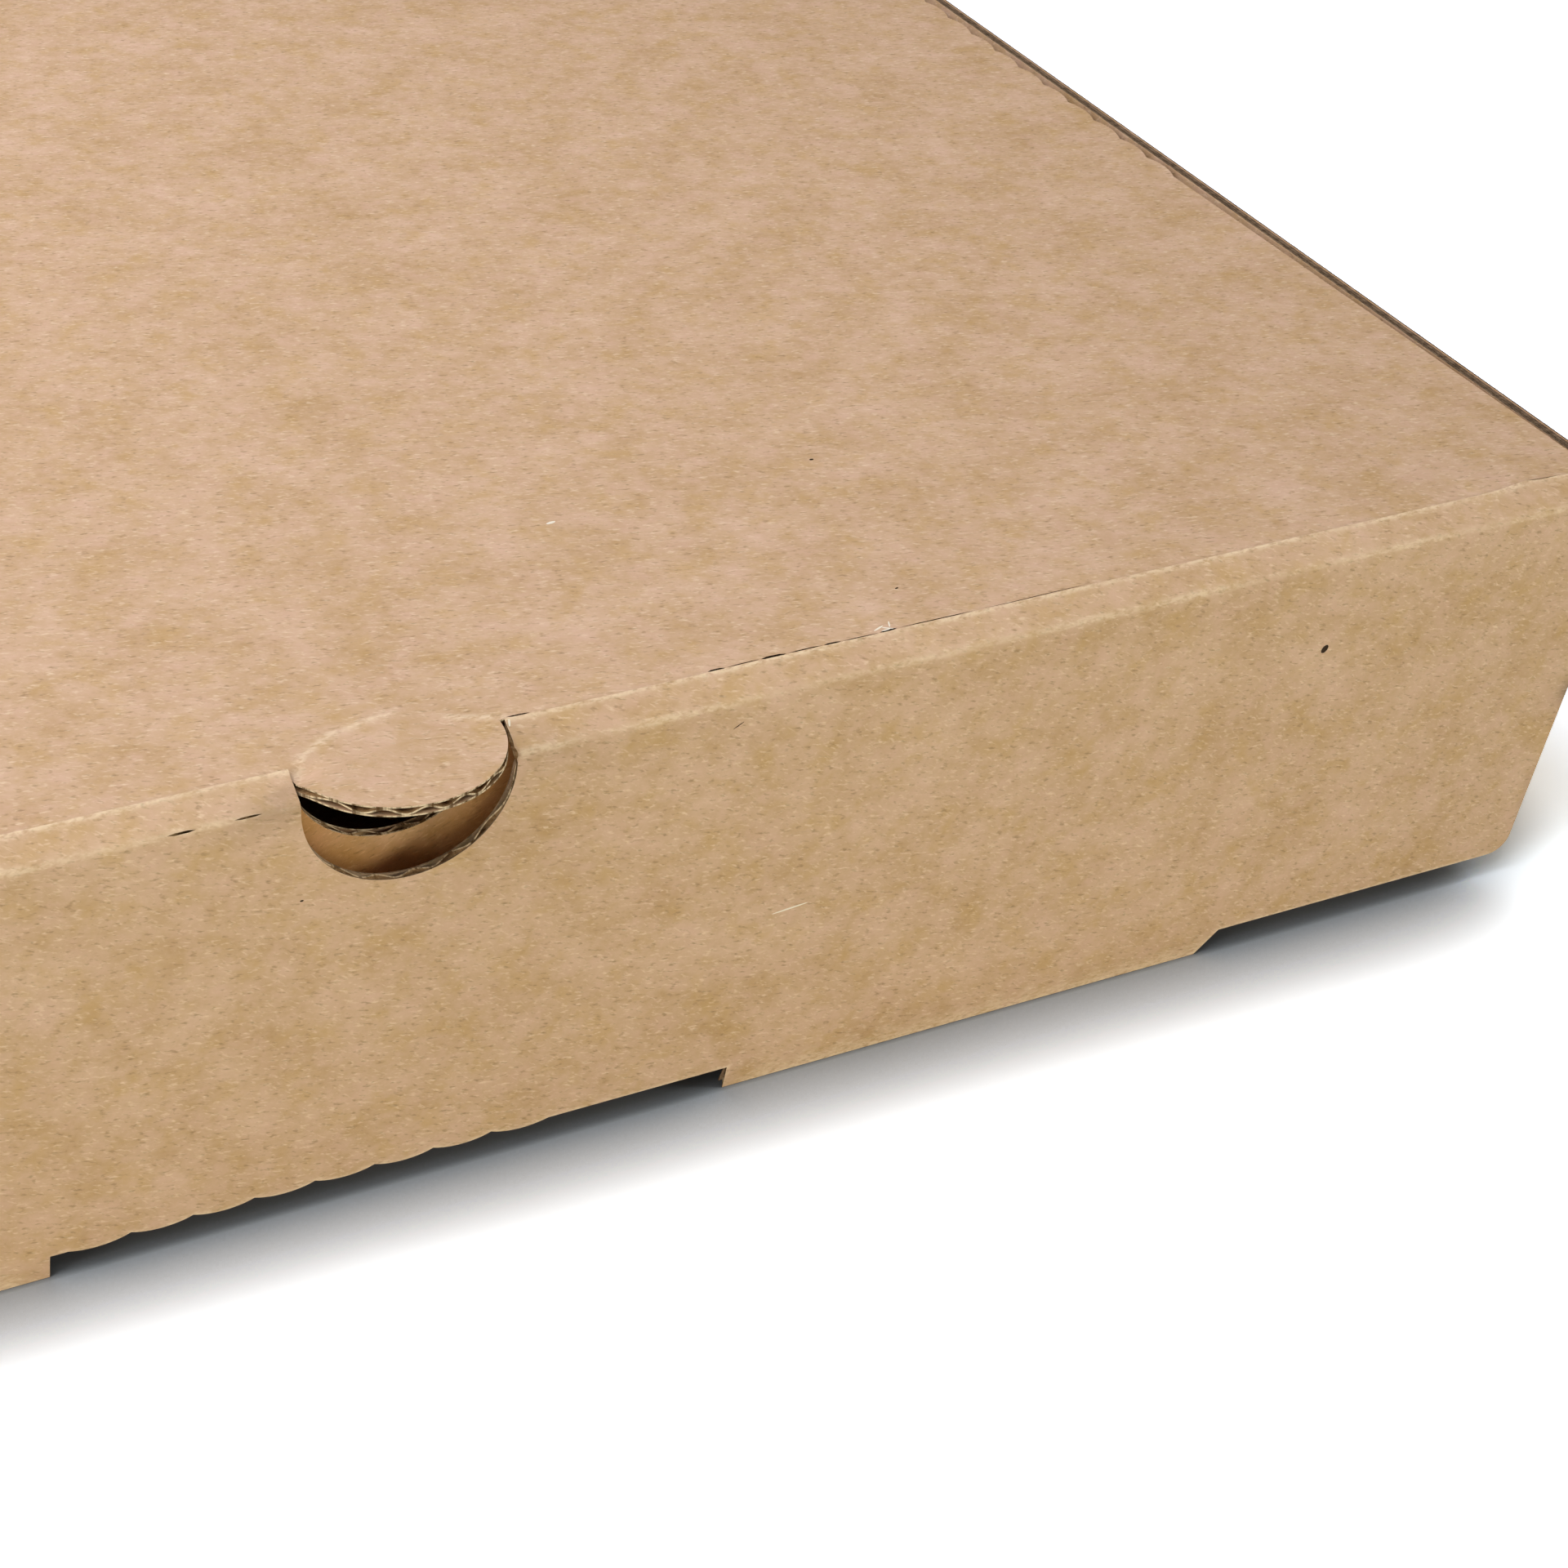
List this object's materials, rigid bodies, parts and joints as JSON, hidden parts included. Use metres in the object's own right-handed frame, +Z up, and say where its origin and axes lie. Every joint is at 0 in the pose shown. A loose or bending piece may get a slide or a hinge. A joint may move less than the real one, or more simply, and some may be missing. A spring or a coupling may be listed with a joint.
{
  "type": "pizza box",
  "caption": "Low square pizza box folded from corrugated kraft board, with a hinged lid, a creased front flap, a half-round thumb tab and wave-cut edges.",
  "frame": {"origin": "centre of the tray's underside, on the table", "axes": "+Z up, -Y towards the front flap with the thumb hole, +X to the right seen from the front"},
  "size_m": [0.2592, 0.2624, 0.0495],
  "materials": {
    "kraft_board": "matte"
  },
  "bodies": {
    "tray": {"tray": "kraft_board"},
    "lid": {"lid": "kraft_board"},
    "front_flap": {"front_flap": "kraft_board"}
  },
  "joints": [
    {"name": "lid_hinge", "type": "hinge", "parent": "tray", "child": "lid", "pos_m": [0, 0.1264, 0.0495], "axis": [-1, 0, 0], "range_deg": [0, 180]},
    {"name": "flap_hinge", "type": "hinge", "parent": "lid", "child": "front_flap", "pos_m": [0, -0.12655, 0.0495], "axis": [-1, 0, 0], "range_deg": [0, 90]}
  ]
}
